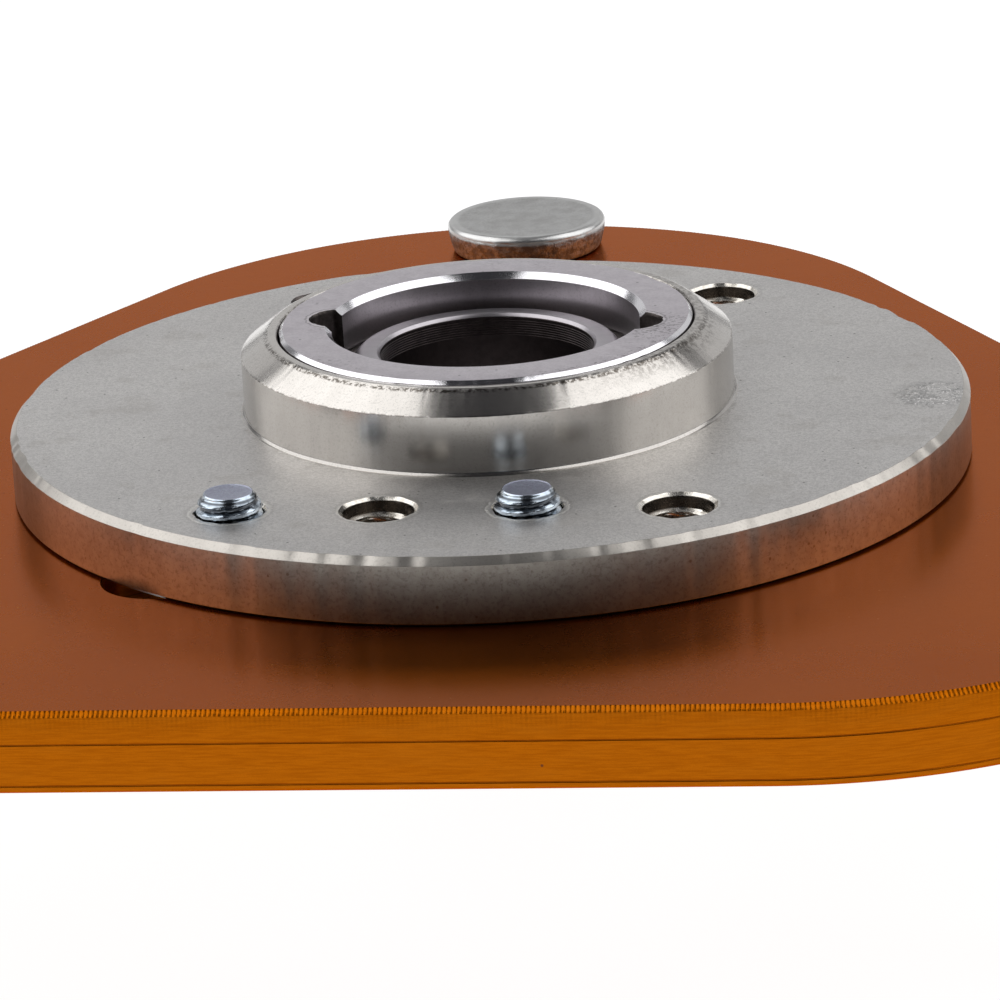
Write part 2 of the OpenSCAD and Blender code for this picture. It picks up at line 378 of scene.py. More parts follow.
def mat_plate_side():
    m, t = material("anodised_edge")
    v, x, y, z, r, a = coords(t)
    stretched = t.join(t.mul(x, 0.06), t.mul(y, 0.06), t.mul(z, 1.0))
    lines = t.noise(stretched, 6.5, 3, 0.65)
    slow = t.noise(t.join(t.mul(x, 0.3), t.mul(y, 0.3), t.mul(z, 1.2)), 0.5, 2, 0.5)
    fine = t.noise(v, 12.0, 2, 0.6)
    col = t.mix(t.step(lines, 0.35, 0.65), (0.38, 0.095, 0.002), (0.47, 0.125, 0.003))
    col = t.mix(t.mul(t.step(fine, 0.35, 0.8), 0.35), col, (0.30, 0.070, 0.001))
    col = t.mix(t.mul(t.step(slow, 0.45, 0.75), 0.25), col, (0.44, 0.13, 0.006))
    # painted shade: the two side grooves are darkened in the colour
    groove = t.add(t.band(z, 4.35, 4.45, 0.04), t.band(z, 0.64, 0.72, 0.04))
    col = t.mix(t.mul(groove, t.add(0.35, t.mul(t.noise(t.join(t.mul(x, 0.12), t.mul(y, 0.12), 0.0), 1.0, 2), 0.6))), col, (0.16, 0.035, 0.002))
    speck = t.mul(t.step(t.cells(v, 0.28), 0.05, 0.02), 0.8)
    col = t.mix(speck, col, (0.08, 0.03, 0.02))
    rough = t.add(0.30, t.mul(lines, 0.14))
    n = t.bump(lines, 0.00003, 0.5)
    n = t.bump(fine, 0.00001, 0.3, n)
    metal(t, col, rough, n, tint=(1.0, 0.45, 0.10))
    return m


def mat_housing_face():
    """Flat faces of the plated flange."""
    m, t = material("plated_face")
    v, x, y, z, r, a = coords(t)
    large = t.noise(v, 0.06, 3, 0.6)
    mid = t.noise(v, 0.8, 4, 0.6)
    fine = t.noise(v, 7.0, 3, 0.65)
    grain = t.noise(v, 3.6, 2, 0.7)
    col = t.mix(t.step(large, 0.35, 0.7), (0.75, 0.73, 0.715), (0.83, 0.81, 0.79))
    col = t.mix(t.mul(t.step(grain, 0.40, 0.64), 0.42), col, (0.47, 0.455, 0.44))
    col = t.mix(t.mul(t.step(fine, 0.42, 0.66), 0.45), col, (0.43, 0.42, 0.405))
    stain = t.mul(t.step(t.noise(v, 0.16, 4, 0.65), 0.54, 0.66), 0.22)
    col = t.mix(stain, col, (0.46, 0.43, 0.39))
    pit = t.mul(t.step(t.cells(v, 0.55), 0.075, 0.045), 0.8)
    col = t.mix(pit, col, (0.13, 0.12, 0.11))
    # hammered patch near the right rim
    patch = t.mul(t.step(t.vec("DISTANCE", v, (41.6, -1.5, 6.26)), 4.8, 2.0), t.step(t.noise(v, 0.9, 3, 0.6), 0.36, 0.56))
    dents = t.cells(v, 1.9)
    col = t.mix(t.mul(patch, 0.35), col, (0.33, 0.33, 0.33))
    # hole rims
    rim = None
    for hx in HOLES_X:
        for s in (-1, 1):
            if s > 0 and hx < 0:
                continue
            d = t.vec("DISTANCE", t.join(x, y, 0.0), (hx, s * ROW_Y, 0.0))
            rim = d if rim is None else t.math("MINIMUM", rim, d)
    ragged = t.add(rim, t.mul(t.sub(t.noise(v, 1.6, 3, 0.7), 0.5), 0.9))
    burr = t.band(ragged, 3.42, 3.66, 0.09)
    col = t.mix(t.mul(burr, 0.45), col, (0.84, 0.82, 0.76))
    shade = t.mul(t.band(ragged, 3.78, 4.0, 0.12), 0.22)
    col = t.mix(shade, col, (0.30, 0.28, 0.25))
    # darker noisy patches at the foot of the hub
    foot = t.mul(t.step(r, 24.0, 23.4), t.step(t.noise(v, 0.8, 3, 0.6), 0.46, 0.66))
    col = t.mix(t.mul(foot, 0.30), col, (0.25, 0.22, 0.19))
    rough = t.add(t.add(0.37, t.mul(mid, 0.10)), t.mul(stain, 0.25))
    rough = t.sub(rough, t.mul(patch, 0.10))
    n = t.bump(fine, 0.00002, 0.35)
    n = t.bump(grain, 0.00002, 0.35, n)
    n = t.bump(t.mul(dents, patch), 0.00040, 0.75, n)
    scratch = t.noise(t.join(t.mul(t.add(x, t.mul(y, 0.6)), 0.08), t.mul(t.sub(y, t.mul(x, 0.6)), 2.2), 0.0), 1.6, 3, 0.7)
    n = t.bump(t.mul(t.step(scratch, 0.66, 0.72), t.step(t.noise(v, 0.05, 2), 0.45, 0.6)), 0.00002, 0.5, n)
    n = t.bump(burr, 0.00006, 0.6, n)
    metal(t, col, rough, n)
    return m


def mat_turned(name, base, dark, rough0=0.22, aniso=0.55, dirty=None, side_rust=False, low=None, speckled=False, relief=1.0, smear=False):
    """A turned wall: fine grooves run round the axis."""
    m, t = material(name)
    v, x, y, z, r, a = coords(t)
    grooves = t.noise(t.join(t.mul(a, 0.5), t.mul(z, 4.0), t.mul(r, 4.0)), 3.0, 3, 0.6)
    patchy = t.noise(t.join(t.mul(a, 9.0), t.mul(z, 0.12), t.mul(r, 0.12)), 1.6, 3, 0.55)
    fine = t.noise(v, 8.0, 3, 0.65)
    col = t.mix(t.mul(t.step(patchy, 0.35, 0.68), 0.4), base, dark)
    col = t.mix(t.mul(t.step(fine, 0.5, 0.8), 0.3), col, tuple(c * 0.65 for c in dark))
    if side_rust:
        mott = t.noise(v, 1.1, 4, 0.62)
        col = t.mix(t.mul(t.step(mott, 0.40, 0.62), 0.32), col, (0.24, 0.21, 0.185))
        speckle = t.noise(v, 3.0, 2, 0.7)
        col = t.mix(t.mul(t.step(speckle, 0.50, 0.66), 0.4), col, (0.17, 0.15, 0.135))
        chip = t.mul(t.step(t.cells(v, 0.5), 0.09, 0.05), 0.7)
        col = t.mix(chip, col, (0.18, 0.13, 0.10))
    if speckled:
        dots = t.noise(v, 4.5, 2, 0.7)
        col = t.mix(t.mul(t.step(dots, 0.52, 0.70), 0.28), col, tuple(c * 0.45 for c in dark))
    if smear:
        far = t.mul(t.step(x, 9.0, 17.0), t.step(z, 12.2, 13.3))
        spots = t.step(t.noise(v, 1.7, 4, 0.75), 0.46, 0.56)
        col = t.mix(t.mul(t.mul(far, t.add(0.25, t.mul(spots, 0.75))), 0.62), col, (0.15, 0.135, 0.12))
    # painted shade: below the height z0 the wall is darkened towards the dark tone
    if low:
        z0, z1, amount = low
        col = t.mix(t.mul(t.step(z, z1, z0), amount), col, tuple(c * 0.4 for c in dark))
    if dirty:
        for lo, hi, amount, size in dirty:
            f = t.mul(t.band(z, lo, hi, 0.07), t.step(t.noise(v, size, 4, 0.7), 0.44, 0.56))
            col = t.mix(t.mul(f, amount), col, (0.10, 0.085, 0.07))
    rough = t.add(t.add(rough0, t.mul(grooves, 0.05)), t.mul(patchy, 0.05))
    n = t.bump(grooves, 0.00001, 0.35 * relief)
    n = t.bump(fine, 0.00001, 0.3 * relief, n)
    tangent = t.node("ShaderNodeTangent", direction_type="RADIAL", axis="Z").outputs[0]
    metal(t, col, rough, n, aniso=aniso, turn=0.25, tangent=tangent)
    return m


def mat_tapped():
    m, t = material("tapped_hole")
    v, x, y, z, r, a = coords(t)
    col = t.mix(t.step(t.noise(v, 2.0, 3, 0.6), 0.35, 0.7), (0.86, 0.83, 0.77), (0.62, 0.58, 0.52))
    # painted shade: the throat of the hole and its deeper thread are darkened in the colour
    throat_shade = t.band(z, 4.95, 5.98, 0.05)
    col = t.mix(t.mul(throat_shade, 0.92), col, (0.085, 0.065, 0.05))
    deep_shade = t.step(z, 4.9, 2.6)
    col = t.mix(t.mul(deep_shade, 0.8), col, (0.10, 0.075, 0.055))
    metal(t, col, t.add(0.20, t.mul(t.noise(v, 3.0, 3), 0.12)), t.bump(t.noise(v, 9.0, 2, 0.6), 0.00002, 0.4))
    return m


def mat_ring_face():
    m, t = material("ring_face")
    v, x, y, z, r, a = coords(t)
    mid = t.noise(v, 0.7, 4, 0.6)
    fine = t.noise(v, 6.0, 3, 0.65)
    col = t.mix(t.step(mid, 0.35, 0.7), (0.69, 0.645, 0.685), (0.63, 0.585, 0.625))
    col = t.mix(t.mul(t.step(fine, 0.5, 0.8), 0.25), col, (0.40, 0.375, 0.40))
    # scuffs by the notch on the right, a few elsewhere
    near = t.step(t.vec("DISTANCE", v, (16.4, -3.6, 14.0)), 5.6, 2.2)
    other = t.mul(t.step(t.noise(v, 0.13, 2), 0.55, 0.68), 0.5)
    outer = t.mul(t.mul(t.step(r, 17.6, 18.7), t.step(x, 3.0, 9.0)), t.step(y, -1.0, -6.0))
    where = t.math("MAXIMUM", t.math("MAXIMUM", near, other), outer)
    specks = t.step(t.noise(v, 2.3, 4, 0.75), 0.54, 0.60)
    col = t.mix(t.mul(t.mul(where, specks), 0.8), col, (0.12, 0.10, 0.11))
    grain = t.noise(v, 3.4, 2, 0.7)
    col = t.mix(t.mul(t.step(grain, 0.40, 0.66), 0.28), col, (0.42, 0.395, 0.42))
    # broken, bright rim of the notches, and painted shade in a dark ring just outside it
    dl = t.vec("DISTANCE", t.join(x, y, 0.0), (-13.97, 0.85, 0.0))
    dr = t.vec("DISTANCE", t.join(x, y, 0.0), (14.0, -1.69, 0.0))
    lip = t.add(t.math("MINIMUM", dl, dr), t.mul(t.sub(t.noise(v, 1.9, 3, 0.7), 0.5), 0.7))
    col = t.mix(t.mul(t.band(lip, 2.70, 2.92, 0.08), 0.55), col, (0.80, 0.77, 0.78))
    col = t.mix(t.mul(t.band(lip, 3.02, 3.16, 0.06), 0.55), col, (0.13, 0.11, 0.12))
    crack = t.noise(t.join(t.mul(x, 0.35), t.mul(y, 1.4), 0.0), 2.2, 3, 0.6)
    col = t.mix(t.mul(t.mul(t.step(crack, 0.60, 0.64), near), 0.85), col, (0.08, 0.07, 0.075))
    nick = t.mul(t.step(t.cells(v, 0.45), 0.08, 0.04), 0.7)
    col = t.mix(nick, col, (0.18, 0.16, 0.17))
    rough = t.add(0.26, t.mul(mid, 0.10))
    n = t.bump(fine, 0.00002, 0.3)
    n = t.bump(t.mul(where, t.noise(v, 2.6, 4, 0.75)), 0.00006, 0.4, n)
    metal(t, col, rough, n)
    return m


def mat_zinc(tip=True):
    m, t = material("zinc_screw")
    v, x, y, z, r, a = coords(t)
    n1 = t.noise(v, 1.6, 4, 0.62)
    fine = t.noise(v, 9.0, 3, 0.65)
    col = t.mix(t.step(n1, 0.35, 0.7), (0.66, 0.74, 0.82), (0.50, 0.58, 0.67))
    col = t.mix(t.mul(t.step(fine, 0.5, 0.8), 0.3), col, (0.34, 0.38, 0.43))
    end = t.mul(t.step(z, 13.15, 13.25), t.step(r, 2.22, 2.10))
    col = t.mix(t.mul(end, t.add(0.45, t.mul(t.step(t.noise(v, 4.0, 3, 0.7), 0.4, 0.6), 0.4))), col, (0.40, 0.39, 0.52))
    grime = t.mul(t.step(t.noise(v, 0.8, 2, 0.5), 0.50, 0.62), t.step(r, 2.2, 2.4))
    col = t.mix(t.mul(grime, 0.30), col, (0.14, 0.15, 0.17))
    # painted shade in the thread roots
    root = t.step(r, 2.68, 2.50)
    col = t.mix(t.mul(t.mul(root, t.step(r, 2.3, 2.42)), 0.85), col, (0.05, 0.055, 0.065))
    rough = t.add(t.add(0.13, t.mul(n1, 0.08)), t.mul(end, 0.16))
    n = t.bump(fine, 0.00002, 0.3)
    n = t.bump(t.mul(end, t.noise(v, 3.2, 4, 0.7)), 0.00012, 0.7, n)
    metal(t, col, rough, n)
    return m


def mat_washer():
    m, t = material("zinc_washer")
    v, x, y, z, r, a = coords(t)
    n1 = t.noise(v, 0.9, 4, 0.62)
    fine = t.noise(v, 7.0, 3, 0.65)
    col = t.mix(t.step(n1, 0.35, 0.7), (0.62, 0.65, 0.68), (0.50, 0.53, 0.56))
    col = t.mix(t.mul(t.step(fine, 0.5, 0.8), 0.3), col, (0.36, 0.37, 0.38))
    n = t.bump(fine, 0.00002, 0.35)
    n = t.bump(t.noise(v, 0.5, 2), 0.0001, 0.3, n)
    metal(t, col, t.add(0.26, t.mul(n1, 0.16)), n)
    return m


def mat_stud():
    m, t = material("stud_steel")
    v, x, y, z, r, a = coords(t)
    n1 = t.noise(v, 0.55, 4, 0.62)
    fine = t.noise(v, 5.0, 3, 0.65)
    col = t.mix(t.step(n1, 0.35, 0.7), (0.62, 0.62, 0.61), (0.52, 0.515, 0.505))
    col = t.mix(t.mul(t.step(fine, 0.45, 0.75), 0.35), col, (0.26, 0.255, 0.25))
    side = t.mul(t.step(r, 7.4, 7.8), t.step(z, 10.0, 9.6))
    pits = t.step(t.noise(v, 1.2, 4, 0.7), 0.44, 0.56)
    col = t.mix(t.mul(side, 0.45), col, (0.30, 0.29, 0.28))
    col = t.mix(t.mul(t.mul(side, pits), 0.55), col, (0.09, 0.08, 0.075))
    edge = t.mul(t.step(r, 7.0, 7.5), t.step(z, 9.7, 10.0))
    col = t.mix(t.mul(edge, 0.5), col, (0.72, 0.72, 0.71))
    rough = t.sub(t.add(0.36, t.mul(n1, 0.16)), t.mul(edge, 0.14))
    n = t.bump(fine, 0.00003, 0.4)
    n = t.bump(t.mul(side, t.noise(v, 1.3, 4, 0.7)), 0.0003, 0.6, n)
    metal(t, col, rough, n)
    return m


def mat_simple(name, c1, c2, rough, scale=1.0, metallic=1.0, amount=0.3):
    m, t = material(name)
    v, x, y, z, r, a = coords(t)
    n1 = t.noise(v, 0.8 * scale, 4, 0.62)
    fine = t.noise(v, 8.0 * scale, 3, 0.65)
    col = t.mix(t.step(n1, 0.35, 0.7), c1, c2)
    col = t.mix(t.mul(t.step(fine, 0.5, 0.8), amount), col, tuple(c * 0.55 for c in c2))
    metal(t, col, t.add(rough, t.mul(n1, 0.12)), t.bump(fine, 0.00002, 0.35), metallic=metallic)
    return m


PLATE_TOP = mat_plate_top()
PLATE_SIDE = mat_plate_side()
FACE = mat_housing_face()
SIDE = mat_turned("plated_side", (0.41, 0.39, 0.355), (0.34, 0.315, 0.28), 0.26, side_rust=True, aniso=0.35)
RIM = mat_turned("plated_rim", (0.53, 0.50, 0.46), (0.40, 0.375, 0.345), 0.30, aniso=0.2, speckled=True)
# painted shade: the hub wall below its chamfer is darkened in the colour (low)
HUB = mat_turned("plated_hub", (0.65, 0.62, 0.585), (0.56, 0.535, 0.50), 0.13, aniso=0.15, speckled=True, relief=0.35, smear=True, low=(11.70, 11.82, 0.30), dirty=[(13.40, 13.64, 0.92, 2.6), (11.76, 11.84, 0.75, 1.6)])
TAPPED = mat_tapped()
RING_FACE = mat_ring_face()
# painted shade: the lower part of the ring's bore wall is darkened in the colour (low)
RING_WALL = mat_turned("ring_wall", (0.56, 0.525, 0.555), (0.46, 0.43, 0.455), 0.26, aniso=0.5, low=(11.3, 11.9, 0.55), speckled=True)
# painted highlight: the ring's chamfers are a brighter copy of the ring steel, besides a smoother finish
RING_EDGE_BRIGHT = mat_turned("ring_edge_painted_highlight", (0.88, 0.87, 0.90), (0.80, 0.79, 0.82), 0.10, aniso=0.3)
BALL = mat_turned("ball_face", (0.49, 0.465, 0.49), (0.42, 0.395, 0.415), 0.28, aniso=0.2)
# painted shade: the ball's bore is given a near-black colour
BORE_SHADE = mat_simple("ball_bore_painted_shade", (0.085, 0.070, 0.070), (0.055, 0.045, 0.045), 0.30)
# painted shade: the ball's spherical flank is a dark copy of the ball steel
FLANK_SHADE = mat_simple("ball_flank_painted_shade", (0.14, 0.105, 0.10), (0.09, 0.07, 0.065), 0.24)
# painted shade: a near-black steel for the ring's notch walls, the flange's bottom edge and one hole
NOTCH_SHADE = mat_simple("notch_painted_shade", (0.115, 0.100, 0.095), (0.06, 0.052, 0.048), 0.34, scale=1.6, amount=0.5)
RACE = mat_simple("race_steel", (0.42, 0.40, 0.39), (0.30, 0.28, 0.27), 0.30)
LINER = mat_simple("ptfe_liner", (0.055, 0.045, 0.04), (0.035, 0.03, 0.028), 0.55, metallic=0.0)
ZINC = mat_zinc()
WASHER = mat_washer()
STUD = mat_stud()


def dress(ob, mats, body, nodes):
    for i, m in enumerate(mats):
        if i < len(ob.data.materials):
            ob.data.materials[i] = m
        else:
            ob.data.materials.append(m)
    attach(ob, body)
    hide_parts(*nodes)
    return ob


# ---------------------------------------------------------------- camber plate
def plate_outline():
    """Points of the plate's outline with outward normals; six to each tool mark."""
    pitch = 0.414
    half = CORNER_D * math.sin(math.radians(60))
    arc, flat = CORNER_R * TAU / 3, 2 * half
    n_arc, n_flat = 6 * round(arc / pitch), 6 * round(flat / pitch)
    pts, nor = [], []
    for k in range(3):
        mid = math.radians(90 + 120 * k)
        c = np.array([math.cos(mid), math.sin(mid)]) * CORNER_D
        a = mid - math.pi / 3 + np.arange(n_arc) / n_arc * TAU / 3
        d = np.stack([np.cos(a), np.sin(a)], 1)
        pts.append(c + CORNER_R * d)
        nor.append(d)
        e = mid + math.pi / 3
        d = np.array([math.cos(e), math.sin(e)])
        nxt = math.radians(90 + 120 * (k + 1))
        c2 = np.array([math.cos(nxt), math.sin(nxt)]) * CORNER_D
        s = (np.arange(n_flat) / n_flat)[:, None]
        pts.append((c + CORNER_R * d) * (1 - s) + (c2 + CORNER_R * d) * s)
        nor.append(np.tile(d, (n_flat, 1)))
    return np.concatenate(pts), np.concatenate(nor)


def oblong(r, half, z, x0=0.0, y0=0.0, n=48):
    """One row of points round a slot."""
    a = np.linspace(-math.pi / 2, math.pi / 2, n)
    right = np.stack([half + r * np.cos(a), r * np.sin(a)], 1)
    p = np.concatenate([right, -right])
    return np.column_stack([p[:, 0] + x0, p[:, 1] + y0, np.full(len(p), z)])


def slot_cutter(name, r, half, x0, y0, edge=0.35, mat=1):
    if half == 0:
        a = np.arange(96) / 96 * TAU
        row = lambda rr, z: np.column_stack([x0 + rr * np.cos(a), y0 + rr * np.sin(a), np.full(96, z)])
    else:
        row = lambda rr, z: oblong(rr, half, z, x0, y0)
    rows = [(r + edge + 1, -1.0), (r + edge, 0.0), (r, edge), (r, PLATE_T - edge), (r + edge, PLATE_T), (r + edge + 1, PLATE_T + 1)]
    P = np.array([row(rr, z) for rr, z in rows])
    return skin(name, P, caps="ngon", mats=[mat] * 6, cap_mats=(mat, mat))


def build_plate():
    base, nor = plate_outline()
    n = len(base)
    k = np.arange(n) % 6 / 6.0
    scallop = np.abs(np.sin(math.pi * k))          # 0 at a cusp, 1 in the middle of a cut
    tool = np.random.default_rng(11).uniform(0.75, 1.25, n // 6 + 1)[np.arange(n) // 6]
    wander = ring_noise(np.arange(n) / n * TAU, 90, 3) * 0.02
    rows = [(0.30, 0.0, 0)]
    rows += [(0.05, 0.24, 0), (0.0, 0.30, 0)]
    for zc, w, d in ((0.68, 0.05, 0.05), (4.40, 0.05, 0.045)):
        rows += [(0.0, zc - 2 * w, 0), (d, zc - w * 0.6, 0), (d, zc + w * 0.6, 0), (0.0, zc + 2 * w, 0)]
    rows += [(0.0, 6.78, 0), (0.004, 6.84, 0.12), (0.10, 6.95, 0.6), (0.22, 7.07, 1.0), (0.34, 7.19, 1.0), (0.44, 7.285, 0.8), (0.47, 7.30, 0.8)]
    P = np.zeros((len(rows), n, 3))
    for i, (d, z, cutd) in enumerate(rows):
        inset = d + cutd * (0.075 * scallop * tool + wander)
        P[i, :, :2] = base - nor * inset[:, None] if not np.isscalar(inset) else base - nor * inset
        P[i, :, 2] = z - cutd * 0.05 * scallop * tool * (0 if z > 7.29 else 1)
    mats = [1] * len(rows)
    ob = skin("plate_body", P, caps="ngon", mats=mats, cap_mats=(0, 0), sharp=24)
    ob.data.materials.append(PLATE_TOP)
    ob.data.materials.append(PLATE_SIDE)
    tools = [slot_cutter("t0", 20.5, 18.5, 0, 2.0, 0.4)]
    for s in (-1, 1):
        tools.append(slot_cutter(f"t{s}", 4.9, 23.3, 0, 2.0 + s * ROW_Y, 0.3))
    for ang in (90, 210, 330):
        a = math.radians(ang)
        tools.append(slot_cutter(f"h{ang}", 4.4, 0, STUD_R * math.cos(a), STUD_R * math.sin(a), 0.25))
    cut(ob, tools, 24)
    return dress(ob, [PLATE_TOP, PLATE_SIDE], "plate", ["camber_plate"])


# ---------------------------------------------------------------- bearing housing
def tap_cutter(name, x0, y0, seed, filled=False, mat=3):
    """A tapped hole as a solid, with a ragged countersink; z is above the flange's underside."""
    n = 72
    a = np.arange(n) / n * TAU
    z = np.concatenate([[-1.0, -0.5, 0.0], np.arange(0.1, 5.0, 0.1), np.linspace(5.0, 5.98, 9), [6.02, 6.10, 6.18, 6.26, 6.6, 7.2]])
    ragged = 0.10 * ring_noise(a, 23, seed) + 0.07 * ring_noise(a, 41, seed + 1)
    P = np.zeros((len(z), n, 3))
    for i, h in enumerate(z):
        r = thread(h + PLATE_T - a / TAU - 0.15, 2.55, 3.04)
        under = 3.15 - max(h, 0) * 1.0 if h < 0.6 else 0
        if h <= 0:
            under = 3.15
        cone = float(np.interp(h, [4.75, 5.0, 5.98, 6.02, 6.26], [2.3, 3.04, 3.12, 3.14, 3.26] if filled else [2.3, 3.04, 3.20, 3.24, 3.50]))
        edge = ragged * np.clip((h - 5.90) / 0.36, 0, 1)
        r = np.maximum(np.maximum(r, under), cone + edge)
        P[i, :, 0] = x0 + r * np.cos(a)
        P[i, :, 1] = y0 + r * np.sin(a)
        P[i, :, 2] = h
    return skin(name, P, caps="ngon", mats=[mat] * len(z), cap_mats=(mat, mat), at=(HX, HY, PLATE_T))


def build_housing():
    points = [
        (13.85, -4.7, 0.15), (19.5, -4.7, 0.08), (20.0, -4.2, 0.08), (20.0, 0.0, 0.0),
        (44.7, 0.0, 0.08), (45.0, 0.3, 0.08), (45.0, 5.58, 0.08), (44.38, 6.26, 0.08),
        (23.25, 6.26, 0.20), (23.0, 6.51, 0.20), (23.0, 11.8, 0.05), (22.78, 11.96, 0.0), (20.80, 13.397, 0.0), (20.52, 13.60, 0.04),
        (20.30, 13.70, 0.05), (19.68, 13.70, 0.05), (19.5, 13.50, 0.04), (19.5, 8.7, 0.0),
        (17.5, 8.7, 0.0), (17.5, -2.7, 0.0), (13.85, -2.7, 0.15),
    ]
    prof, tag = rounded(points, steps=4)
    n = 720
    a = np.arange(n) / n * TAU
    rim = 0.35 * ring_noise(a, 140, 21) + 0.35 * ring_noise(a, 61, 22) + 0.3 * ring_noise(a, 260, 23)
    nick = np.clip(rim - 0.12, 0, None) * 0.42
    hub = 0.4 * ring_noise(a, 90, 24) + 0.35 * ring_noise(a, 190, 25) + 0.25 * ring_noise(a, 37, 26)
    hub_nick = np.clip(0.5 * ring_noise(a, 240, 24) + 0.3 * ring_noise(a, 360, 25) + 0.2 * hub, 0, None) * 0.07
    low_nick = np.clip(0.5 * ring_noise(a, 210, 27) + 0.5 * ring_noise(a, 77, 28) - 0.05, 0, None) * 0.035
    rings = []
    for (r, z), k in zip(prof, tag):
        dr = dz = 0.0
        if k in (6, 7):
            dr, dz = -nick * (0.5 if k == 6 else 1.0), -nick * (0.15 if k == 6 else 0.12)
        if k == 10:
            dr, dz = -low_nick, -low_nick * 0.3
        if k == 13:
            dr, dz = -hub_nick * 0.2, -hub_nick * 1.0
        if k == 14:
            dr, dz = -hub_nick * 0.1, -hub_nick * 0.15
        rings.append((r + dr, z + dz))
    # 0 flat faces, 1 flange side, 2 hub, 3 tapped holes, 4 flange rim, 5 flange's bottom edge, dark as painted shade
    seg = []
    for i, k in enumerate(tag):
        k2 = tag[(i + 1) % len(tag)]
        if k == 7 and k2 == 8 or k == 3 and k2 == 4 or k == 17 or k == 0 and k2 == 1:
            seg.append(0)
        elif k == 4:
            seg.append(5)
        elif k == 5 and k2 == 5 or k == 5 and k2 == 6:
            seg.append(1)
        elif 6 <= k <= 7:
            seg.append(4)
        else:
            seg.append(2)
    ob = polar("housing_body", rings, n, torus=True, mats=seg, at=(HX, HY, PLATE_T), sharp=30)
    for m in (FACE, SIDE, HUB, TAPPED, RIM, NOTCH_SHADE):
        ob.data.materials.append(m)
    # the rear left hole's countersink takes material 5, the dark painted shade
    tools = [tap_cutter(f"tap{i}{s}", x, s * ROW_Y, 40 + 7 * i + (3 if s > 0 else 0), filled=i in (0, 2), mat=5 if s > 0 and i == 0 else 3) for i, x in enumerate(HOLES_X) for s in (-1, 1)]
    bpy.context.view_layer.update()
    # the cutter is joined in world space, so the body goes there too
    ob.data.transform(ob.matrix_world)
    ob.matrix_world = Matrix.Identity(4)
    cut(ob, tools, 30)
    back = Vector((HX, HY, PLATE_T)) * MM
    ob.data.transform(Matrix.Translation(-back))
    ob.location = back
    return dress(ob, [FACE, SIDE, HUB, TAPPED, RIM, NOTCH_SHADE], "carriage", ["bearing_housing"])


# ---------------------------------------------------------------- retaining ring
def blob(name, parts, z0, z1, seed, mat=2):
    """A prism over the union of circles (x, y, r), with a ragged wall; star-shaped about the first circle."""
    n = 120
    a = np.arange(n) / n * TAU
    cx, cy, cr = parts[0]
    R = np.full(n, cr, float)
    for x, y, r in parts[1:]:
        dx, dy = x - cx, y - cy
        b = dx * np.cos(a) + dy * np.sin(a)
        disc = b * b - (dx * dx + dy * dy - r * r)
        far = np.where(disc > 0, b + np.sqrt(np.maximum(disc, 0)), 0)
        R = np.maximum(R, far)
    rag = 0.10 * ring_noise(a, 19, seed) + 0.05 * ring_noise(a, 47, seed + 1)
    zs = [z0, z0 + 0.2, (z0 + z1) / 2, z1 - 1.35, z1 - 1.15, z1 - 1.0, z1 - 0.6, z1]
    grow = [0, 0, 0, 0, 0.02, 0.10, 0.12, 0.12]
    P = np.zeros((len(zs), n, 3))
    for i, (z, g) in enumerate(zip(zs, grow)):
        r = R + g + rag * (0.4 + 0.6 * (z > z1 - 1.5))
        P[i, :, 0] = cx + r * np.cos(a)
        P[i, :, 1] = cy + r * np.sin(a)
        P[i, :, 2] = z
    return skin(name, P, caps="ngon", mats=[mat] * len(zs), cap_mats=(mat, mat))


def build_ring():
    points = [
        (14.9, 9.3, 0.05), (19.05, 9.3, 0.05), (19.36, 9.6, 0.05), (19.36, 13.64, 0.05),
        (19.0, 14.0, 0.06), (15.0, 14.0, 0.05), (14.4, 13.4, 0.06), (14.4, 9.8, 0.05),
    ]
    prof, tag = rounded(points, steps=4)
    n = 512
    a = np.arange(n) / n * TAU
    e = np.clip(0.5 * ring_noise(a, 110, 31) + 0.5 * ring_noise(a, 47, 32) - 0.12, 0, None) * 0.14
    rings = []
    for (r, z), k in zip(prof, tag):
        dr = -e if k in (3, 4) else 0.0
        dz = -e * 0.6 if k == 4 else 0.0
        rings.append((r + dr, z + dz))
    seg = []
    for i, k in enumerate(tag):
        k2 = tag[(i + 1) % len(tag)]
        seg.append(0 if (k == 4 and k2 == 5) or (k == 0 and k2 == 1) else 3 if (k, k2) in ((3, 3), (3, 4), (5, 6), (5, 5)) else 1)
    ob = polar("ring_body", rings, n, torus=True, mats=seg, sharp=30)
    for m in (RING_FACE, RING_WALL, NOTCH_SHADE, RING_EDGE_BRIGHT):
        ob.data.materials.append(m)
    def at(R, deg):
        return R * math.cos(math.radians(deg)), R * math.sin(math.radians(deg))
    # the notch walls take blob's material 2, the dark painted shade
    left = blob("n1", [(*at(14.0, 176.5), 2.62)], 8.6, 15.0, 51)
    right = blob("n2", [(*at(14.1, -6.9), 2.62)], 8.6, 15.0, 55)
    cut(ob, [left, right], 30)
    ob.location = Vector((HX, HY, PLATE_T)) * MM
    return dress(ob, [RING_FACE, RING_WALL, NOTCH_SHADE, RING_EDGE_BRIGHT], "carriage", ["retaining_ring"])


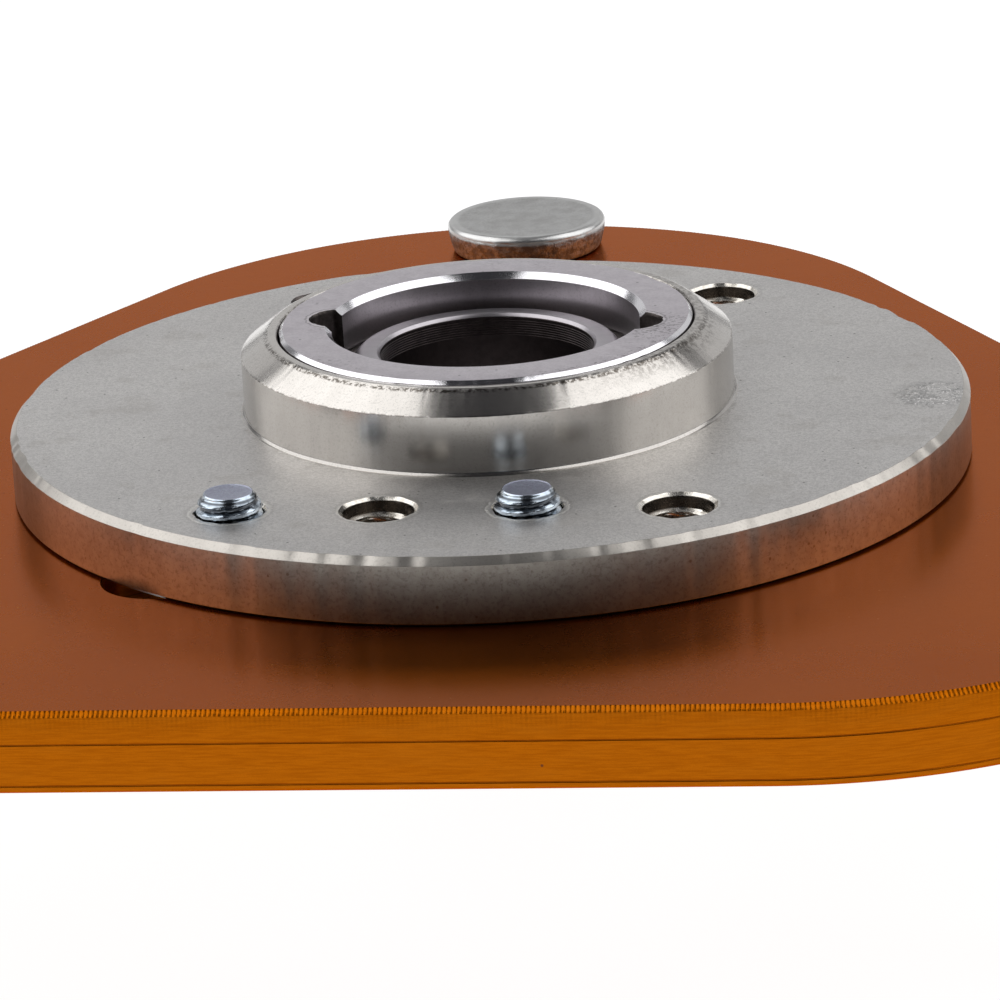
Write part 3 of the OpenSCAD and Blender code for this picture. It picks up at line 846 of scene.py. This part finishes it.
# ---------------------------------------------------------------- spherical bearing
def build_bearing():
    at = (HX, HY, BALL_Z)
    # ball
    R = 14.5
    lat = np.linspace(-math.asin(7.55 / R), math.asin(7.55 / R), 64)
    prof = [(R * math.cos(t), R * math.sin(t)) for t in lat]
    prof += [(12.05, 7.86), (11.85, 7.96), (11.59, 8.0), (10.42, 8.0), (10.30, 7.98), (10.03, 7.70), (10.0, 7.60)]
    z = 7.42
    for i in range(7):
        prof += [(10.0, z), (10.055, z - 0.045), (10.055, z - 0.085), (10.0, z - 0.13)]
        z -= 0.235
    prof += [(10.0, 5.0), (10.0, 0.0), (10.0, -5.0), (10.0, -7.60), (10.03, -7.70), (10.30, -7.98), (10.42, -8.0), (11.59, -8.0), (11.85, -7.96), (12.05, -7.86)]
    mats = []
    for i in range(len(prof)):
        r, z = prof[i]
        r2, z2 = prof[(i + 1) % len(prof)]
        if i < 63:
            mats.append(2)
        elif r <= 10.06 and r2 <= 10.06:
            mats.append(1)
        else:
            mats.append(0)
    ball = polar("ball_body", prof, 384, torus=True, mats=mats, at=at, sharp=28)
    dress(ball, [BALL, BORE_SHADE, FLANK_SHADE], "ball", ["bearing_ball"])
    # outer race
    R = 15.0
    lat = np.linspace(-math.asin(5.7 / R), math.asin(5.7 / R), 32)
    pts = [(R * math.cos(t), R * math.sin(t), 0) for t in lat]
    pts += [(13.72, 6.0, 0.05), (16.9, 6.0, 0.1), (17.5, 5.4, 0.1), (17.5, -5.4, 0.1), (16.9, -6.0, 0.1), (13.72, -6.0, 0.05)]
    prof, tag = rounded(pts, steps=3)
    race = polar("race_body", [tuple(p) for p in prof], 256, torus=True, at=at)
    dress(race, [RACE], "carriage", ["bearing_outer_race"])
    # liner
    top = math.asin(5.8 / 14.95)
    out = [(14.95 * math.cos(t), 14.95 * math.sin(t)) for t in np.linspace(-top, top, 28)]
    top = math.asin(5.8 / 14.55)
    inn = [(14.55 * math.cos(t), 14.55 * math.sin(t)) for t in np.linspace(top, -top, 28)]
    mid = [(14.25, 5.83)], [(14.25, -5.83)]
    liner = polar("liner_body", out + inn, 192, torus=True, at=at)
    dress(liner, [LINER], "liner", ["bearing_liner"])


# ---------------------------------------------------------------- screws and washers
def build_screw(tag_name, x, y, tip, seed):
    n = 96
    a = np.arange(n) / n * TAU
    dish = 0.12
    rings = []
    # end face, from the axis out
    for r in (0.25, 0.6, 1.0, 1.35, 1.65, 1.9, 2.08):
        bumpy = 0.030 * plane_noise(r * np.cos(a), r * np.sin(a), 0.42, seed) + 0.018 * plane_noise(r * np.cos(a), r * np.sin(a), 0.2, seed + 1)
        z = tip - 0.03 - dish * (1 - (r / 2.08) ** 3) + bumpy * (1 - (r / 2.08) ** 4)
        rings.append((r, z))
    for ang in np.linspace(85, 10, 6):
        c = math.radians(ang)
        rings.append((2.10 + 0.17 * math.cos(c), tip - 0.17 + 0.17 * math.sin(c)))
    z = tip - 0.22
    while z > -4.35:
        # the first turns are tapered and shallow, as rolled threads are
        d = tip - z
        crest = float(np.interp(d, [0.2, 0.5, 0.95, 1.7], [2.30, 2.62, 2.86, 2.98]))
        root = float(np.interp(d, [0.2, 0.6, 1.2, 1.8], [2.26, 2.38, 2.44, 2.46]))
        r = thread(z - a / TAU - 0.15, root, crest)
        if z < -3.6:
            f = (z + 4.35) / 0.75
            r = r * f + 2.97 * (1 - f)
        rings.append((r, z))
        z -= 0.085
    # head, then its hexagon socket
    knurl = 0.10 * np.abs(np.sin(24 * a))
    rings += [(2.97, -4.45), (3.15, -4.60), (4.55, -4.60), (4.80, -4.68), (4.92 - knurl * 0.3, -4.85)]
    for z in (-5.0, -6.0, -7.5, -9.0, -9.7):
        rings.append((5.0 - knurl, z))
    rings += [(4.95 - knurl * 0.5, -9.95), (4.80, -10.20), (4.50, -10.45), (4.20, -10.56), (3.9, -10.60)]
    ah = (a + math.pi / 6) % (math.pi / 3) - math.pi / 6
    hexr = 2.5 / np.cos(ah)
    rings += [(np.maximum(hexr * 1.05, 2.72), -10.60), (hexr * 1.01, -10.50), (hexr, -10.30), (hexr, -9.0), (hexr, -7.7), (hexr * 0.97, -7.62), (hexr * 0.55, -7.45), (0.3, -7.30)]
    ob = polar("screw_" + tag_name, rings, n, at=(x, y, 0), sharp=34)
    return dress(ob, [ZINC], "carriage", ["camber_screw_" + tag_name])


def build_lock_washer(tag_name, x, y):
    """A split spring washer, pressed flat."""
    sect, _ = rounded([(3.06, -4.59), (4.94, -4.59), (4.94, -3.01), (3.06, -3.01)], 0.16, 3)
    m = 120
    start, end = math.radians(43.5), math.radians(40 + 360 - 3.5)
    P = np.zeros((m, len(sect), 3))
    for i, t in enumerate(np.linspace(0, 1, m)):
        for k, (r, z) in enumerate(sect):
            slant = (z + 3.8) / 1.6 * math.radians(12)
            ang = start + (end - start) * t + slant
            P[i, k] = (r * math.cos(ang), r * math.sin(ang), z)
    ob = skin("lockwasher_" + tag_name, P, caps="ngon", at=(x, y, 0), sharp=34)
    return dress(ob, [WASHER], "carriage", ["lock_washer_" + tag_name])


def build_clamp_washer(tag_name, x, y):
    pts = [(3.2, -3.0, 0.12), (8.5, -3.0, 0.25), (8.5, -0.01, 0.35), (3.2, -0.01, 0.2)]
    prof, _ = rounded(pts, steps=5)
    ob = polar("washer_" + tag_name, [tuple(p) for p in prof], 128, torus=True, at=(x, y, 0))
    return dress(ob, [WASHER], "carriage", ["clamp_washer_" + tag_name])


# ---------------------------------------------------------------- studs
def build_stud(tag_name, deg, seed):
    n = 192
    a = np.arange(n) / n * TAU
    ca, sa = np.cos(a), np.sin(a)
    rings = []
    for r in (0.4, 1.2, 2.2, 3.2, 4.2, 5.0, 5.7, 6.3, 6.9, 7.4):
        z = 10.40 + 0.14 * (r / 7.4) ** 3 + 0.022 * plane_noise(r * ca, r * sa, 2.1, seed) + 0.012 * plane_noise(r * ca, r * sa, 0.9, seed + 1)
        rings.append((r, z))
    wob = 0.04 * ring_noise(a, 26, seed) + 0.025 * ring_noise(a, 61, seed + 1)
    for ang in np.linspace(80, 8, 8):
        c = math.radians(ang)
        rings.append((7.74 + 0.66 * math.cos(c) - 0.02 + wob * 0.6 * math.cos(c), 9.95 + 0.62 * math.sin(c)))
    for i, z in enumerate(np.linspace(9.8, 7.75, 14)):
        bulge = float(np.interp(z, [7.6, 8.4, 9.2, 9.9], [7.90, 8.12, 8.32, 8.38]))
        rough = 0.05 * plane_noise(a * 8.1 + 9, np.full(n, z * 1.7 + i * 0.2), 0.8, seed + 2) + 0.03 * plane_noise(a * 8.1 + 3, np.full(n, z * 2.1), 0.33, seed + 3)
        rings.append((np.minimum(bulge + rough + wob * 0.4, 8.44), z))
    rings += [(7.84, 7.52), (7.76, 7.42), (7.60, 7.33), (7.3, 7.30), (4.40, 7.30)]
    knurl = 0.16 * np.abs(np.sin(14 * a))
    rings += [(4.38 - knurl * 0.3, 7.1), (4.38 - knurl, 6.8), (4.38 - knurl, 4.0), (4.38 - knurl, 1.2), (4.20 - knurl * 0.5, 0.9), (3.95, 0.75)]
    z = 0.6
    while z > -26.9:
        r = thread(z / 1.25 - a / TAU, 3.36, 3.98)
        if z > -0.4:
            f = (z + 0.4) / 1.0
            r = r * (1 - f) + 3.9 * f
        cone = 3.05 + (z + 27.6) * 1.0
        if z < -26.2:
            r = np.minimum(r, cone)
        rings.append((r, z))
        z -= 0.104
    rings += [(3.62, -27.0), (3.10, -27.55), (2.95, -27.67), (2.7, -27.7), (1.5, -27.68), (0.4, -27.66)]
    t = math.radians(deg)
    ob = polar("stud_body_" + tag_name, rings, n, at=(STUD_R * math.cos(t), STUD_R * math.sin(t), 0), sharp=34)
    return dress(ob, [STUD], "plate", ["stud_" + tag_name])


build_plate()
build_housing()
build_ring()
build_bearing()
for i, (row, y) in enumerate((("front", HY - ROW_Y), ("rear", HY + ROW_Y))):
    for j, (side, x) in enumerate((("left", HX - 19.95), ("right", HX + 6.65))):
        name = f"{row}_{side}"
        build_screw(name, x, y, 15.4 if row == "front" else 13.4, 61 + 10 * i + 3 * j)
        build_lock_washer(name, x, y)
        build_clamp_washer(name, x, y)
for name, deg, seed in (("rear", 90, 81), ("front_left", 210, 86), ("front_right", 330, 91)):
    build_stud(name, deg, seed)


# ---------------------------------------------------------------- floor, light, camera
FLOOR_Z = cad_low.z
me = bpy.data.meshes.new("floor")
S = 12.0
me.from_pydata([(-S, -S, FLOOR_Z), (S, -S, FLOOR_Z), (S, S, FLOOR_Z), (-S, S, FLOOR_Z)], [], [(0, 1, 2, 3)])
floor = bpy.data.objects.new("floor", me)
bpy.context.scene.collection.objects.link(floor)
m, t = material("floor")
bs = t.node("ShaderNodeBsdfPrincipled")
bs.inputs["Base Color"].default_value = (0.17, 0.17, 0.17, 1)
bs.inputs["Roughness"].default_value = 0.9
bs.inputs["Specular IOR Level"].default_value = 0.1
bs.inputs["Emission Color"].default_value = (1, 1, 1, 1)
bs.inputs["Emission Strength"].default_value = 0.95
t.node("ShaderNodeOutputMaterial", {"Surface": bs.outputs[0]})
me.materials.append(m)


def softbox(name, where, aim, size, power, color=(1, 1, 1), spread=180):
    data = bpy.data.lights.new(name, "AREA")
    data.shape = "RECTANGLE"
    data.size, data.size_y = size
    data.energy = power
    data.color = color
    data.spread = math.radians(spread)
    ob = bpy.data.objects.new(name, data)
    bpy.context.scene.collection.objects.link(ob)
    ob.location = where
    ob.rotation_euler = (Vector(aim) - Vector(where)).to_track_quat("-Z", "Y").to_euler()
    ob.visible_camera = False
    return ob


def panel(name, side, inner, outer, y0, y1, radiance):
    """A long soft panel beside the object; inner and outer are (distance from the middle, height) of its long edges."""
    data = bpy.data.lights.new(name, "AREA")
    data.shape = "RECTANGLE"
    across = Vector((side * (inner[0] - outer[0]), 0, inner[1] - outer[1]))
    data.size, data.size_y = y1 - y0, across.length
    data.energy = radiance * math.pi * data.size * data.size_y
    ob = bpy.data.objects.new(name, data)
    bpy.context.scene.collection.objects.link(ob)
    ey = across.normalized()
    ex = Vector((0, 1, 0))
    ez = ex.cross(ey)
    if ez.z < 0:
        ex, ez = -ex, -ez
    ob.matrix_world = Matrix((
        (ex.x, ey.x, ez.x, side * (inner[0] + outer[0]) / 2),
        (ex.y, ey.y, ez.y, (y0 + y1) / 2),
        (ex.z, ey.z, ez.z, (inner[1] + outer[1]) / 2),
        (0, 0, 0, 1),
    ))
    ob.visible_camera = False
    return ob


panel("left_panel", -1, (0.27, 1.00), (1.25, 0.25), -0.72, 0.75, 1.42)
panel("right_panel", 1, (0.29, 1.00), (1.25, 0.25), -0.44, 0.75, 1.40)
softbox("back_box", (0.0, 1.7, 0.58), (0, 0, 0.0), (2.8, 0.95), 3.6)

world = bpy.data.worlds.new("studio")
bpy.context.scene.world = world
world.use_nodes = True
w = Tree(world.node_tree)
g = w.split(w.node("ShaderNodeTexCoord").outputs["Generated"])
strip = w.mul(w.step(w.math("ABSOLUTE", g[0]), 0.60, 0.35), w.step(g[1], 0.30, -0.05))
lit = w.mix(strip, (0.18, 0.18, 0.185), (0.025, 0.025, 0.028))
bg = w.node("ShaderNodeBackground", {"Color": lit})
bg.inputs["Strength"].default_value = 1.0
w.node("ShaderNodeOutputWorld", {"Surface": bg.outputs[0]})

cam_data = bpy.data.cameras.new("camera")
cam_data.lens = 190.26
cam_data.sensor_width = 36.0
cam_data.clip_start = 0.01
cam_data.clip_end = 50
cam = bpy.data.objects.new("camera", cam_data)
bpy.context.scene.collection.objects.link(cam)
cx = Vector((0.99367059, 0.10023918, -0.05070371))
cy = Vector((0.014929, 0.32952451, 0.94402898))
cz = Vector((0.11133681, -0.93881079, 0.32594235))
cam.matrix_world = Matrix((
    (cx.x, cy.x, cz.x, 0.05958948),
    (cx.y, cy.y, cz.y, -0.46698773),
    (cx.z, cy.z, cz.z, 0.16606902),
    (0, 0, 0, 1),
))
bpy.context.scene.camera = cam
bpy.context.scene.view_settings.view_transform = "Standard"
bpy.context.scene.view_settings.look = "None"
